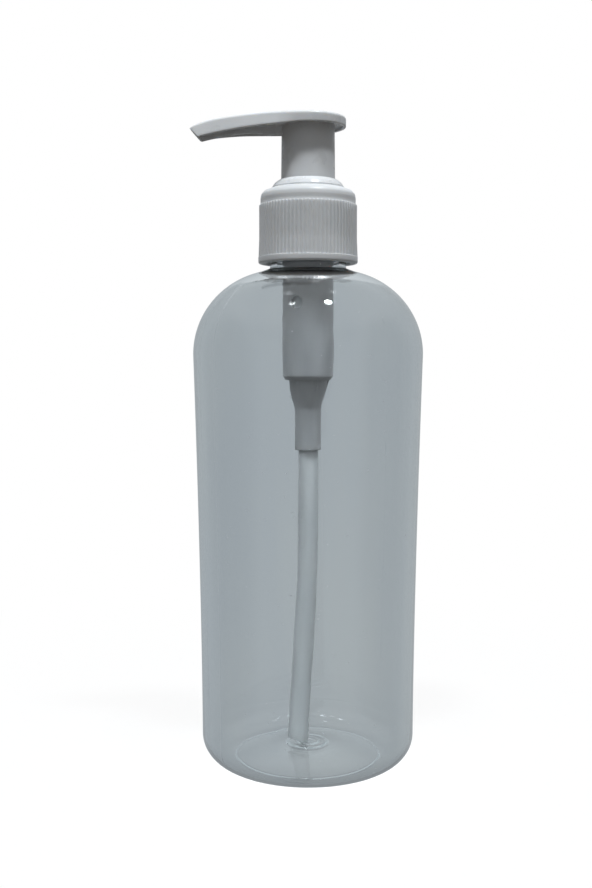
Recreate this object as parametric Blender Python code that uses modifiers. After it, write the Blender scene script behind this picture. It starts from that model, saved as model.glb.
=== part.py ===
"""Lotion pump bottle: a clear round bottle with a screw-on, press-down dispensing pump.

Frame: origin at the centre of the bottle's foot, +Z up, the spout points along -X.
Sizes below are millimetres; MM turns them into metres.
"""

import math

import bmesh
import bpy
from mathutils import Matrix, Vector

MM = 0.001
STEPS = 36  # sides of the large turned pieces
FINE_STEPS = 24  # sides of the small turned pieces
GAP = 0.3  # clearance between two pieces that touch

# Bottle
FOOT_Z = 0.0
FOOT_RING_IN = 22.8  # flat ring that the bottle stands on
FOOT_RING_OUT = 24.4
HEEL_R = 8.5
BODY_R_LOW = FOOT_RING_OUT + HEEL_R
BODY_R_TOP = 35.0
BODY_TOP_Z = 126.0  # widest level, where the dome starts
DOME_SPAN = 26.2  # radial half axis of the domed shoulder
DOME_RISE = 25.5  # vertical half axis of the domed shoulder
BODY_WALL = 0.8
PUSH_UP = 3.4  # how far the base centre is raised
NECK_BEAD_R = 11.6
NECK_BEAD_Z = (151.9, 154.2)
NECK_R = 10.85
NECK_BORE_R = 9.45
NECK_TOP_Z = 170.4
THREAD_PITCH = 3.175
THREAD_TURNS = 1.5
THREAD_BEAD_R = 0.6
NECK_THREAD_R = 11.75  # crest radius
NECK_THREAD_Z = 160.5

# Closure
RIM_Z = 153.4
RIB_Z = (155.5, 171.1)
RIB_COUNT = 78
RIB_R_LOW = 15.05
RIB_DEPTH = 0.45
CAP_BORE_R = 12.5
CAP_TOP_Z = 175.9
CAP_HOLE_R = 10.25
CAP_DECK_Z = 173.4
CAP_TIER_R = 14.4
CAP_THREAD_R = 11.85  # crest radius, clear of the neck's thread

# Chaplet
CHAPLET_TOP_Z = 178.5
CHAPLET_R = 10.9
CHAPLET_BORE_R = 8.45

# Housing
FLANGE_Z = (172.05, 173.1)
FLANGE_R = 11.8
CUP_R = 9.15
CUP_BORE_R = 8.45
CUP_FLOOR_Z = 160.0
BARREL_R = 7.9
BARREL_BORE_R = 6.9
BARREL_FOOT_Z = 119.6
THROAT_R = 6.03
THROAT_TOP_Z = 118.2
SOCKET_R = 4.05
SOCKET_TOP_Z = 108.4
SOCKET_FOOT_Z = 96.8
VENT_Z = 141.7
VENT_R = 1.9
VENT_ANGLES = (-118.0, 44.0)  # degrees about Z from +X

# Plunger
STROKE = 12.0
STEM_R = 4.0
STEM_BORE_R = 2.9
STEM_Z = (149.6, 192.5)
PLUG_FLANGE_Z = 138.3
BALL_R = 2.0
BALL_Z = 110.48
SPRING_Z = (115.4, 138.0)
SPRING_R = 3.4
SPRING_WIRE_R = 0.38
SPRING_TURNS = 7

# Dip tube
TUBE_R = 3.2
TUBE_BORE_R = 2.4
TUBE_BEND_ANGLE = 223.0  # degrees about Z, the side that the tube's foot leans to
TUBE_BEND = ((0.0, 107.2), (0.0, 96.0), (0.0, 80.0), (0.15, 66.0), (0.8, 50.0), (1.8, 35.0), (3.0, 20.0), (4.1, 4.8))

# Head
HEAD_TIP_X = -36.5
HEAD_HALF = 11.4  # half width over the stem, and the radius of the round rear
HEAD_TIP_HALF = 3.6
HEAD_WALL = 1.1
HEAD_RECESS = 0.8  # depth of the shallow underside behind its rim
HEAD_TOP = ((-36.5, 193.6), (-33.0, 194.9), (-29.3, 195.9), (-24.8, 196.6), (-20.2, 197.0), (-15.6, 197.3),
            (-11.0, 197.45), (12.4, 197.5))
HEAD_RIM = ((-36.5, 189.6), (-33.0, 190.7), (-29.3, 191.5), (-24.8, 192.2), (-20.2, 192.75), (-15.6, 193.1),
            (-11.2, 193.35), (-6.6, 193.6), (-2.5, 193.9), (12.4, 194.1))
TIP_CUT = ((-35.7, 193.9), (-32.2, 190.1))  # the oblique face at the outlet
SPOUT_ROUTE = ((-5.0, 194.3), (-14.0, 194.5), (-20.4, 194.5), (-25.0, 193.8), (-31.0, 192.6), (-36.0, 191.3))
SPOUT_R = 2.3
OUTLET_R = 1.4
SKIRT_R = (8.0, 8.15)  # under the shell, at the foot
SKIRT_BORE_R = 7.15
SKIRT_FOOT_Z = 175.0
HUB_R = 5.5  # inner socket that takes the stem
HUB_FOOT_Z = 184.0

MATERIALS = {
    "clear_pet": ((0.80, 0.86, 0.87, 0.35), 0.05, 0.0),
    "white_pp": ((0.86, 0.87, 0.88, 1.0), 0.35, 0.0),
    "natural_pp": ((0.62, 0.65, 0.67, 1.0), 0.45, 0.0),
    "milky_pe": ((0.72, 0.76, 0.78, 1.0), 0.5, 0.0),
    "soft_foam": ((0.78, 0.78, 0.76, 1.0), 0.8, 0.0),
    "spring_steel": ((0.62, 0.62, 0.62, 1.0), 0.25, 1.0),
    "glass_ball": ((0.55, 0.60, 0.62, 1.0), 0.1, 0.0),
}


def clear_scene():
    for obj in list(bpy.data.objects):
        bpy.data.objects.remove(obj, do_unlink=True)


def new_collection(name):
    collection = bpy.data.collections.new(name)
    bpy.context.scene.collection.children.link(collection)
    return collection


def new_material(name):
    colour, roughness, metallic = MATERIALS[name]
    material = bpy.data.materials.new(name)
    material.use_nodes = True
    shader = material.node_tree.nodes["Principled BSDF"]
    shader.inputs["Base Color"].default_value = (*colour[:3], 1.0)
    shader.inputs["Alpha"].default_value = colour[3]
    shader.inputs["Roughness"].default_value = roughness
    shader.inputs["Metallic"].default_value = metallic
    return material


def smooth_step(t):
    t = min(max(t, 0.0), 1.0)
    return t * t * (3.0 - 2.0 * t)


def arc(centre, radii, start, end, count):
    """Points on an ellipse arc in the (radius, height) plane, by angle in degrees."""
    points = []
    for i in range(count + 1):
        a = math.radians(start + (end - start) * i / count)
        points.append((centre[0] + radii[0] * math.cos(a), centre[1] + radii[1] * math.sin(a)))
    return points


def along(points, x):
    """Height at x on a smooth curve through the points (monotone in x)."""
    for i in range(len(points) - 1):
        (x0, z0), (x1, z1) = points[i], points[i + 1]
        if x <= x1 or i == len(points) - 2:
            before = points[max(i - 1, 0)]
            after = points[min(i + 2, len(points) - 1)]
            slope0 = (z1 - before[1]) / (x1 - before[0])
            slope1 = (after[1] - z0) / (after[0] - x0)
            t = (x - x0) / (x1 - x0)
            h = x1 - x0
            return (
                (2 * t**3 - 3 * t**2 + 1) * z0
                + (t**3 - 2 * t**2 + t) * h * slope0
                + (3 * t**2 - 2 * t**3) * z1
                + (t**3 - t**2) * h * slope1
            )
    return points[-1][1]


def place(obj, collection, material, parent=None):
    collection.objects.link(obj)
    obj.data.materials.clear()
    obj.data.materials.append(material)
    if parent:
        obj.parent = parent
        obj.matrix_parent_inverse = parent.matrix_world.inverted()
    return obj


def turned(name, profile, steps, ring=True):
    """Solid of revolution about Z. The profile runs down the outer side and, for a ring, back up the inner side."""
    mesh = bpy.data.meshes.new(name)
    points = [(r * MM, 0.0, z * MM) for r, z in profile]
    edges = [(i, i + 1) for i in range(len(points) - 1)]
    if ring:
        edges.append((len(points) - 1, 0))
    mesh.from_pydata(points, edges, [])
    obj = bpy.data.objects.new(name, mesh)
    screw = obj.modifiers.new("turn", "SCREW")
    screw.axis = "Z"
    screw.angle = math.tau
    screw.steps = steps
    screw.render_steps = steps
    screw.use_merge_vertices = True
    screw.merge_threshold = 0.00001
    screw.use_normal_calculate = False
    screw.use_smooth_shade = True
    return obj


def sweep(name, points, radius, bevel_resolution):
    """Round bar along a smooth route of (x, y, z) points in millimetres."""
    curve = bpy.data.curves.new(name, "CURVE")
    curve.dimensions = "3D"
    curve.bevel_depth = radius * MM
    curve.bevel_resolution = bevel_resolution
    curve.use_fill_caps = True
    spline = curve.splines.new("POLY")
    spline.points.add(len(points) - 1)
    for target, point in zip(spline.points, points):
        target.co = (*(Vector(point) * MM), 1.0)
    return bpy.data.objects.new(name, curve)


def outline(name, loops, half_thickness):
    """Flat plate in the XY plane from closed loops of (x, y) millimetre points; later loops are holes."""
    curve = bpy.data.curves.new(name, "CURVE")
    curve.dimensions = "2D"
    curve.fill_mode = "BOTH"
    curve.extrude = half_thickness * MM
    for loop in loops:
        spline = curve.splines.new("POLY")
        spline.points.add(len(loop) - 1)
        for target, (x, y) in zip(spline.points, loop):
            target.co = (x * MM, y * MM, 0.0, 1.0)
        spline.use_cyclic_u = True
    return bpy.data.objects.new(name, curve)


def cylinder(name, radius, low, high, sides):
    """Upright primitive cylinder on the Z axis between two heights."""
    mesh = bpy.data.meshes.new(name)
    shape = bmesh.new()
    bmesh.ops.create_cone(
        shape, cap_ends=True, segments=sides, radius1=radius * MM, radius2=radius * MM, depth=(high - low) * MM
    )
    bmesh.ops.translate(shape, vec=(0, 0, (high + low) / 2 * MM), verts=shape.verts)
    shape.to_mesh(mesh)
    shape.free()
    return bpy.data.objects.new(name, mesh)


def as_mesh(obj, collection, matrix=None):
    """Turns a curve or modified object into a closed plain mesh in the given collection."""
    collection.objects.link(obj)
    bpy.context.view_layer.update()
    graph = bpy.context.evaluated_depsgraph_get()
    mesh = bpy.data.meshes.new_from_object(obj.evaluated_get(graph))
    if matrix:
        mesh.transform(matrix)
    shape = bmesh.new()
    shape.from_mesh(mesh)
    bmesh.ops.remove_doubles(shape, verts=shape.verts, dist=0.000001)
    bmesh.ops.recalc_face_normals(shape, faces=shape.faces)
    shape.to_mesh(mesh)
    shape.free()
    name = obj.name
    bpy.data.objects.remove(obj, do_unlink=True)
    made = bpy.data.objects.new(name, mesh)
    collection.objects.link(made)
    return made


def combine(obj, tool, operation):
    modifier = obj.modifiers.new(operation.lower() + "_" + tool.name, "BOOLEAN")
    modifier.object = tool
    modifier.operation = operation
    modifier.solver = "EXACT"
    return obj


def smooth(obj, degrees=32.0):
    obj.data.shade_smooth()
    obj.data.set_sharp_from_angle(angle=math.radians(degrees))


def body_radius(z):
    """Outer radius of the bottle's wall: a slight taper that opens towards the shoulder."""
    t = (z - HEEL_R) / (BODY_TOP_Z - HEEL_R)
    return BODY_R_LOW + (BODY_R_TOP - BODY_R_LOW) * t**1.6


def helix(radius, start_z, turns, pitch, per_turn=18):
    points = []
    for i in range(int(turns * per_turn) + 1):
        a = math.tau * i / per_turn
        points.append((radius * math.cos(a), radius * math.sin(a), start_z + pitch * i / per_turn))
    return points


def make_bottle(cutters):
    dome_centre = (BODY_R_TOP - DOME_SPAN, BODY_TOP_Z)
    wall_levels = [BODY_TOP_Z - (BODY_TOP_Z - HEEL_R) * i / 4 for i in range(1, 5)]
    outer = [(NECK_R, NECK_TOP_Z), (NECK_R, NECK_BEAD_Z[1])]
    outer += [(NECK_BEAD_R, NECK_BEAD_Z[1] - 0.3), (NECK_BEAD_R, NECK_BEAD_Z[0]), (12.4, 151.3)]
    outer += arc(dome_centre, (DOME_SPAN, DOME_RISE), 77.0, 0.0, 8)
    outer += [(body_radius(z), z) for z in wall_levels]
    outer += arc((FOOT_RING_OUT, HEEL_R), (HEEL_R, HEEL_R), -18.0, -90.0, 4)
    outer += [(FOOT_RING_IN, FOOT_Z)]
    outer += [(r, PUSH_UP * (1 - (r / FOOT_RING_IN) ** 2)) for r in (16.0, 8.0, 0.0)]

    inner = [(r, BODY_WALL + PUSH_UP * (1 - (r / FOOT_RING_IN) ** 2)) for r in (0.0, 8.0, 16.0)]
    inner += [(FOOT_RING_IN, BODY_WALL)]
    inner += arc((FOOT_RING_OUT, HEEL_R), (HEEL_R - BODY_WALL,) * 2, -90.0, -18.0, 4)
    inner += [(body_radius(z) - BODY_WALL, z) for z in reversed(wall_levels)]
    inner += arc(dome_centre, (DOME_SPAN - BODY_WALL, DOME_RISE - BODY_WALL), 0.0, 77.0, 8)
    inner += [(NECK_BORE_R, 148.6), (NECK_BORE_R, NECK_TOP_Z)]
    bottle = turned("bottle", inner + outer, STEPS, ring=False)
    crest = NECK_THREAD_R - THREAD_BEAD_R
    thread = as_mesh(
        sweep("neck_thread", helix(crest, NECK_THREAD_Z, THREAD_TURNS, THREAD_PITCH), THREAD_BEAD_R, 0), cutters
    )
    return combine(bottle, thread, "UNION")


def make_closure_cap(cutters):
    shell = [(CAP_HOLE_R, CAP_TOP_Z), (11.4, CAP_TOP_Z - 0.1), (12.6, 175.3), (13.65, 174.5), (14.2, 173.6)]
    shell += [(CAP_TIER_R, 172.6), (CAP_TIER_R, 171.5), (14.5, RIB_Z[1]), (14.5, RIB_Z[0]), (15.1, RIB_Z[0])]
    shell += [(15.1, 154.3), (14.7, RIM_Z), (CAP_BORE_R + 0.2, RIM_Z), (CAP_BORE_R, 154.2)]
    shell += [(CAP_BORE_R, 172.3), (CAP_BORE_R - 0.5, CAP_DECK_Z), (CAP_HOLE_R, CAP_DECK_Z)]
    cap = turned("closure_cap", shell, STEPS)

    ribbed = []
    for i in range(RIB_COUNT):
        for share, radius in ((0.0, 0.0), (0.3, 1.0), (0.7, 1.0)):
            a = math.tau * (i + share) / RIB_COUNT
            r = RIB_R_LOW - RIB_DEPTH * (1.0 - radius)
            ribbed.append((r * math.cos(a), r * math.sin(a)))
    hole = arc((0.0, 0.0), (14.0, 14.0), 0.0, 350.0, STEPS - 1)
    middle = Matrix.Translation((0, 0, (RIB_Z[0] + RIB_Z[1]) / 2 * MM))
    ribs = as_mesh(outline("cap_ribs", (ribbed, hole), (RIB_Z[1] - RIB_Z[0]) / 2), cutters, middle)
    combine(cap, ribs, "UNION")
    crest = CAP_THREAD_R + THREAD_BEAD_R
    start = NECK_THREAD_Z - THREAD_PITCH / 2
    thread = as_mesh(sweep("cap_thread", helix(crest, start, THREAD_TURNS, THREAD_PITCH), THREAD_BEAD_R, 0), cutters)
    return combine(cap, thread, "UNION")


def make_chaplet():
    top = [(CHAPLET_BORE_R, CHAPLET_TOP_Z), (8.75, 178.4), (9.3, 178.0), (10.05, 177.4), (10.55, 176.8)]
    rim = [(CHAPLET_R, CAP_TOP_Z + GAP), (9.95, CAP_TOP_Z + GAP), (9.95, 174.2)]
    groove = [(9.4, 174.2), (9.4, 176.6), (CHAPLET_BORE_R, 176.6)]
    return turned("chaplet", top + rim + groove, STEPS)


def make_housing(cutters):
    collar = [(8.6, 176.3), (9.1, 176.3), (9.1, FLANGE_Z[1])]
    flange = [(FLANGE_R, FLANGE_Z[1]), (FLANGE_R, FLANGE_Z[0]), (CUP_R, FLANGE_Z[0])]
    barrel = [(CUP_R, CUP_FLOOR_Z - 0.6), (BARREL_R, 158.2), (BARREL_R, BARREL_FOOT_Z), (6.9, THROAT_TOP_Z)]
    throat = [(THROAT_R, THROAT_TOP_Z), (SOCKET_R, SOCKET_TOP_Z), (SOCKET_R, SOCKET_FOOT_Z)]
    socket = [(TUBE_R + GAP, SOCKET_FOOT_Z), (TUBE_R + GAP, 107.6), (1.3, 107.6), (1.3, 108.6)]
    seat = [(3.0, 111.0), (3.4, 113.7), (4.3, 113.7), (4.95, 119.4), (BARREL_BORE_R, 120.6)]
    bore = [(BARREL_BORE_R, 159.0), (7.4, CUP_FLOOR_Z), (CUP_BORE_R, CUP_FLOOR_Z), (CUP_BORE_R, 171.0)]
    housing = turned("pump_housing", collar + flange + barrel + throat + socket + seat + bore, STEPS)
    for index, angle in enumerate(VENT_ANGLES):
        drill = cylinder(f"vent_drill_{index}", VENT_R, 0.0, 12.0, 20)
        turn = Matrix.Rotation(math.radians(angle), 4, "Z") @ Matrix.Rotation(math.radians(90), 4, "Y")
        drill.data.transform(Matrix.Translation((0, 0, VENT_Z * MM)) @ turn)
        cutters.objects.link(drill)
        combine(housing, drill, "DIFFERENCE")
    return housing


def make_gasket():
    low = NECK_TOP_Z + 0.25
    high = FLANGE_Z[0] - 0.2
    return turned("neck_gasket", [(CUP_R + 0.25, high), (FLANGE_R, high), (FLANGE_R, low), (CUP_R + 0.25, low)], STEPS)


def make_stem_guide():
    sleeve_r = 5.2
    bore = STEM_R + 0.25
    web = (CUP_FLOOR_Z + GAP, 161.5)
    profile = [(bore, 170.0), (sleeve_r, 170.0), (sleeve_r, web[1]), (CUP_BORE_R - GAP, web[1])]
    profile += [(CUP_BORE_R - GAP, web[0]), (sleeve_r, web[0]), (sleeve_r, 151.7), (bore, 151.7)]
    return turned("stem_guide", profile, FINE_STEPS)


def make_stem():
    foot = STEM_Z[0]
    profile = [(STEM_BORE_R, STEM_Z[1]), (STEM_R - 0.3, STEM_Z[1]), (STEM_R, STEM_Z[1] - 0.6), (STEM_R, foot + 1.8)]
    profile += [(5.0, foot + 1.8), (5.0, foot), (STEM_BORE_R, foot)]
    return turned("stem", profile, FINE_STEPS)


def make_plug(cutters):
    flange = PLUG_FLANGE_Z
    profile = [(0.0, 157.0), (1.8, 157.0), (2.6, 156.0), (2.6, flange + 1.2), (5.4, flange + 1.2), (5.4, flange)]
    profile += [(2.6, flange), (2.6, 135.6), (2.0, 135.0), (0.0, 135.0)]
    plug = turned("stem_plug", profile, FINE_STEPS, ring=False)
    for index in range(4):
        flute = cylinder(f"plug_flute_{index}", 1.0, flange + 2.0, 158.0, 16)
        a = math.tau * (index + 0.5) / 4
        flute.data.transform(Matrix.Translation((2.6 * math.cos(a) * MM, 2.6 * math.sin(a) * MM, 0)))
        cutters.objects.link(flute)
        combine(plug, flute, "DIFFERENCE")
    return plug


def make_piston():
    inner = (3.1, 4.0)
    outer = (5.8, 6.3)
    lip = BARREL_BORE_R - 0.1
    profile = [(inner[0], 148.3), (inner[1], 148.3), (inner[1], 144.4), (outer[0], 144.4), (outer[0], 147.6)]
    profile += [(lip, 147.6), (lip, 147.1), (outer[1], 146.0), (outer[1], 140.4), (lip, 139.3), (lip, 138.8)]
    profile += [(outer[0], 138.8), (outer[0], 143.0), (inner[1], 143.0), (inner[1], 140.4), (3.6, 139.75), (inner[0], 139.75)]
    return turned("piston", profile, FINE_STEPS)


def make_spring():
    """Open coil with closed, flat-wound ends."""
    per_turn = 12
    low = SPRING_Z[0] + SPRING_WIRE_R
    high = SPRING_Z[1] - SPRING_WIRE_R
    lead = 2.2 * SPRING_WIRE_R  # rise of the closed turn at each end
    count = SPRING_TURNS * per_turn
    points = []
    for i in range(count + 1):
        turn = i / per_turn
        if turn < 1:
            z = low + lead * turn
        elif turn > SPRING_TURNS - 1:
            z = high - lead * (SPRING_TURNS - turn)
        else:
            z = low + lead + (high - low - 2 * lead) * (turn - 1) / (SPRING_TURNS - 2)
        a = math.tau * turn
        points.append((SPRING_R * math.cos(a), SPRING_R * math.sin(a), z))
    return sweep("spring", points, SPRING_WIRE_R, 1)


def make_retainer(cutters):
    disc = turned("ball_retainer", [(0.9, 115.1), (4.0, 115.1), (4.0, 114.0), (0.9, 114.0)], FINE_STEPS)
    for index in range(3):
        slot = cylinder(f"retainer_hole_{index}", 0.7, 113.0, 116.0, 12)
        a = math.tau * index / 3
        slot.data.transform(Matrix.Translation((2.5 * math.cos(a) * MM, 2.5 * math.sin(a) * MM, 0)))
        cutters.objects.link(slot)
        combine(disc, slot, "DIFFERENCE")
    return disc


def make_ball():
    mesh = bpy.data.meshes.new("inlet_ball")
    shape = bmesh.new()
    bmesh.ops.create_uvsphere(shape, u_segments=16, v_segments=10, radius=BALL_R * MM)
    shape.to_mesh(mesh)
    shape.free()
    ball = bpy.data.objects.new("inlet_ball", mesh)
    ball.location = (0, 0, BALL_Z * MM)
    return ball


def tube_points(extra=0.0):
    """Route of the dip tube from its socket to its foot, with a smooth bend in one upright plane."""
    top = TUBE_BEND[0][1] + extra
    foot = TUBE_BEND[-1][1] - extra
    lean = math.radians(TUBE_BEND_ANGLE)
    heights = [(z, d) for d, z in reversed(TUBE_BEND)]
    count = 14
    points = []
    for i in range(count + 1):
        z = top + (foot - top) * i / count
        aside = along(heights, min(max(z, TUBE_BEND[-1][1]), TUBE_BEND[0][1]))
        points.append((aside * math.cos(lean), aside * math.sin(lean), z))
    return points


def make_dip_tube(cutters, parts, material):
    tube = as_mesh(sweep("dip_tube", tube_points(), TUBE_R, 3), cutters)
    cutters.objects.unlink(tube)
    bore = as_mesh(sweep("tube_bore", tube_points(1.0), TUBE_BORE_R, 3), cutters)
    place(tube, parts, material)
    return combine(tube, bore, "DIFFERENCE")


def head_half_width(x):
    """Half width of the head's plan ahead of the stem: narrow at the outlet, full width over the stem."""
    return HEAD_TIP_HALF + (HEAD_HALF - HEAD_TIP_HALF) * smooth_step(1.0 - x / HEAD_TIP_X)


def head_plan(inset):
    """Closed plan loop of the head's shell, moved inwards by inset; the rear is round about the stem's axis."""
    side = []
    for i in range(13):
        x = HEAD_TIP_X * (1 - i / 12)
        side.append((x, head_half_width(x) - inset))
    rear = arc((0.0, 0.0), (HEAD_HALF - inset,) * 2, 90.0, 0.0, 9)[1:]
    half = side + rear
    return half + [(x, -y) for x, y in reversed(half[:-1])]


def side_plate(name, cutters, top, rim):
    """Plate with the head's side outline, standing in the XZ plane."""
    count = 16
    low_x, high_x = top[0][0], top[-1][0]
    stations = [low_x + (high_x - low_x) * i / count for i in range(count + 1)]
    loop = [(x, along(rim, x)) for x in stations] + [(x, along(top, x)) for x in reversed(stations)]
    upright = Matrix.Rotation(math.radians(90), 4, "X")
    return as_mesh(outline(name, (loop,), 14.0), cutters, upright)


def make_head(cutters):
    tall = Matrix.Translation((0, 0, 194 * MM))
    plan = as_mesh(outline("pump_head", (head_plan(0.0),), 8.0), cutters, tall)
    cutters.objects.unlink(plan)
    combine(plan, side_plate("head_side", cutters, HEAD_TOP, HEAD_RIM), "INTERSECT")

    pocket = as_mesh(outline("head_pocket", (head_plan(HEAD_WALL),), 8.0), cutters, tall)
    ceiling = [(x, z + HEAD_RECESS) for x, z in HEAD_RIM]
    below = [(x, z - 4.0) for x, z in HEAD_RIM]
    combine(pocket, side_plate("pocket_side", cutters, ceiling, below), "INTERSECT")
    combine(plan, pocket, "DIFFERENCE")

    heights = [(-x, z) for x, z in SPOUT_ROUTE]
    route = [(-x, 0.0, along(heights, x)) for x in [5.0 + 31.0 * i / 12 for i in range(13)]]
    spout = as_mesh(sweep("head_spout", route, SPOUT_R, 3), cutters)
    combine(plan, spout, "UNION")
    top_z = 196.8
    skirt = turned(
        "head_skirt",
        [(SKIRT_BORE_R, top_z), (SKIRT_R[0], top_z), (SKIRT_R[0], 193.0), (SKIRT_R[1], 178.5), (SKIRT_R[1], SKIRT_FOOT_Z),
         (SKIRT_BORE_R, SKIRT_FOOT_Z)],
        STEPS,
    )
    combine(plan, as_mesh(skirt, cutters), "UNION")
    hub = cylinder("head_hub", HUB_R, HUB_FOOT_Z, top_z, FINE_STEPS)
    cutters.objects.link(hub)
    combine(plan, hub, "UNION")

    stem_bore = cylinder("head_stem_bore", STEM_R + GAP, HUB_FOOT_Z - 1.0, STEM_Z[1] + GAP, FINE_STEPS)
    cutters.objects.link(stem_bore)
    combine(plan, stem_bore, "DIFFERENCE")
    rise = cylinder("head_rise", OUTLET_R, STEM_Z[1], 195.2, 16)
    cutters.objects.link(rise)
    combine(plan, rise, "DIFFERENCE")
    channel_route = [(0.0, 0.0, 194.4), (-5.0, 0.0, 194.5)] + route[1:]
    channel = as_mesh(sweep("head_channel", channel_route, OUTLET_R, 3), cutters)
    combine(plan, channel, "DIFFERENCE")

    (high_x, high_z), (low_x, low_z) = TIP_CUT
    slope = (high_x - low_x) / (high_z - low_z)
    ends = [(high_x + slope * (204 - high_z), 204), (low_x + slope * (180 - low_z), 180), (-60, 180), (-60, 204)]
    upright = Matrix.Rotation(math.radians(90), 4, "X")
    combine(plan, as_mesh(outline("tip_cut", (ends,), 14.0), cutters, upright), "DIFFERENCE")
    return plan


def empty(name, height, parent=None):
    """Joint axis marker on the pump's axis."""
    marker = bpy.data.objects.new(name, None)
    marker.empty_display_size = 0.01
    marker.location = (0, 0, height * MM)
    bpy.context.scene.collection.objects.link(marker)
    bpy.context.view_layer.update()
    if parent:
        marker.parent = parent
        marker.matrix_parent_inverse = parent.matrix_world.inverted()
        bpy.context.view_layer.update()
    return marker


def build():
    clear_scene()
    parts = new_collection("pump_bottle")
    cutters = new_collection("cutters")
    materials = {name: new_material(name) for name in MATERIALS}

    core = empty("pump_core_axis", NECK_TOP_Z)
    stroke = empty("head_stroke_axis", CHAPLET_TOP_Z, core)
    ball_axis = empty("inlet_ball_axis", BALL_Z, core)

    pieces = (
        (make_bottle(cutters), "clear_pet", None),
        (make_closure_cap(cutters), "white_pp", core),
        (make_chaplet(), "white_pp", core),
        (make_housing(cutters), "natural_pp", core),
        (make_gasket(), "soft_foam", core),
        (make_stem_guide(), "natural_pp", core),
        (make_retainer(cutters), "natural_pp", core),
        (make_ball(), "glass_ball", ball_axis),
        (make_spring(), "spring_steel", core),
        (make_stem(), "natural_pp", stroke),
        (make_plug(cutters), "natural_pp", stroke),
        (make_piston(), "milky_pe", stroke),
        (make_head(cutters), "white_pp", stroke),
    )
    for obj, material, parent in pieces:
        place(obj, parts, materials[material], parent)
        if obj.type == "MESH":
            smooth(obj)
    tube = make_dip_tube(cutters, parts, materials["milky_pe"])
    smooth(tube)
    tube.parent = core
    tube.matrix_parent_inverse = core.matrix_world.inverted()

    for cutter in cutters.objects:
        cutter.hide_render = True
        cutter.display_type = "WIRE"


build()
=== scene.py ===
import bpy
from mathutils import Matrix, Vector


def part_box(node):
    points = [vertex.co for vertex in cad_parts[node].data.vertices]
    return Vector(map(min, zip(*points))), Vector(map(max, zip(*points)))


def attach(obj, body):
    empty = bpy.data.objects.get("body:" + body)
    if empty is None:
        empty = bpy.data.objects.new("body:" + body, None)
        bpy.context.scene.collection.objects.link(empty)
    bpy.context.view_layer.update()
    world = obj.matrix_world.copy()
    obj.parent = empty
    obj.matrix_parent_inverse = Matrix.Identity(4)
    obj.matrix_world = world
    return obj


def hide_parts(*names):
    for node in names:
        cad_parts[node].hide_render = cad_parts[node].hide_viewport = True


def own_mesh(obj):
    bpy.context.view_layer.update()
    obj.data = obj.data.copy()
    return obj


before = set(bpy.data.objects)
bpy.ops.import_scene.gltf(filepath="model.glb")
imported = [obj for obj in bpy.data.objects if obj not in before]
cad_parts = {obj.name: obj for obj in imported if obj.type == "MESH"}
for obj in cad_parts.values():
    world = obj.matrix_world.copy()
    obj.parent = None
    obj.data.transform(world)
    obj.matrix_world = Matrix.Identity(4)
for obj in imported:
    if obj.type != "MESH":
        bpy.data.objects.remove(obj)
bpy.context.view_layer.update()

import math

import bmesh
import bpy
import numpy as np
from mathutils import Vector

# ---------------------------------------------------------------------------------------------------
# Bottle. Clear PET, stretch-blown in two mould halves: a thin wall that opens slightly towards a domed
# shoulder, thick again at the neck and at the gate in the middle of its raised base. Sizes are in
# millimetres here and in every later section; MM turns them into metres.

MM = 0.001
NECK_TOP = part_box("bottle")[1].z / MM
BODY_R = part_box("bottle")[1].x / MM
HEEL_ROUND = 8.5
FOOT_R = 24.4
FOOT_IN = 22.8
SHOULDER_Z = 126.0
DOME = (26.2, 25.5)  # radial and upright half axes of the shoulder
DOME_END = 77.0  # degrees above its widest level at which the shoulder meets the neck
WALL = 0.8
PUSH_UP = 3.4
NECK_R = 10.85
NECK_BORE = 9.45
BEAD_R = 11.6
THREAD_PITCH = 3.175
THREAD_TURNS = 1.5
THREAD_START = 160.5
THREAD_DEPTH = 0.9
PARTING = math.radians(-141)  # direction of one mould line; the other is opposite


def ramp(value, low, high):
    """0 below low, 1 above high, and a smooth S between."""
    t = np.clip((value - low) / (high - low), 0, 1)
    return t * t * (3 - 2 * t)


def ridge(away, half_width, power=2):
    """1 along a line, falling off on both sides like a bell; a higher power flattens its top."""
    return np.exp(-(np.abs(away / half_width) ** power))


def rounded(corners, closed=True):
    """Half section through (radius, height, rounding) corners. Each corner gives way to the arc of that
    rounding that touches both of its sides; the arc's points turn evenly about its centre."""
    count = len(corners)
    runs = []
    for i, (r, z, rounding) in enumerate(corners):
        here = np.array((r, z), float)
        back = np.array(corners[i - 1][:2]) - here
        ahead = np.array(corners[(i + 1) % count][:2]) - here
        if rounding == 0 or (not closed and i in (0, count - 1)):
            runs.append(here[None])
            continue
        back_length, ahead_length = np.hypot(*back), np.hypot(*ahead)
        back, ahead = back / back_length, ahead / ahead_length
        half = math.acos(np.clip(back @ ahead, -1, 1)) / 2
        turn = math.pi - 2 * half
        reach = min(rounding / math.tan(half), 0.49 * back_length, 0.49 * ahead_length)
        centre = here + (back + ahead) / np.hypot(*(back + ahead)) * reach / math.cos(half)
        share = np.linspace(0, 1, max(3, int(math.degrees(turn) / 12) + 2))[:, None]
        start, end = here + back * reach - centre, here + ahead * reach - centre
        arc = np.sin((1 - share) * turn) * start + np.sin(share * turn) * end
        runs.append(centre + arc / math.sin(turn))
    return np.concatenate(runs)


def finer(section, step, closed=False):
    """The same section with points added so that no two neighbours are further apart than step."""
    if closed:
        section = np.vstack((section, section[:1]))
    along = np.concatenate(([0.0], np.cumsum(np.hypot(*np.diff(section, axis=0).T))))
    spans = zip(along[:-1], along[1:])
    runs = [np.linspace(a, b, max(2, math.ceil((b - a) / step) + 1)) for a, b in spans]
    marks = np.unique(np.concatenate(runs))
    fine = np.column_stack([np.interp(marks, along, section[:, k]) for k in (0, 1)])
    return fine[:-1] if closed else fine


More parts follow.
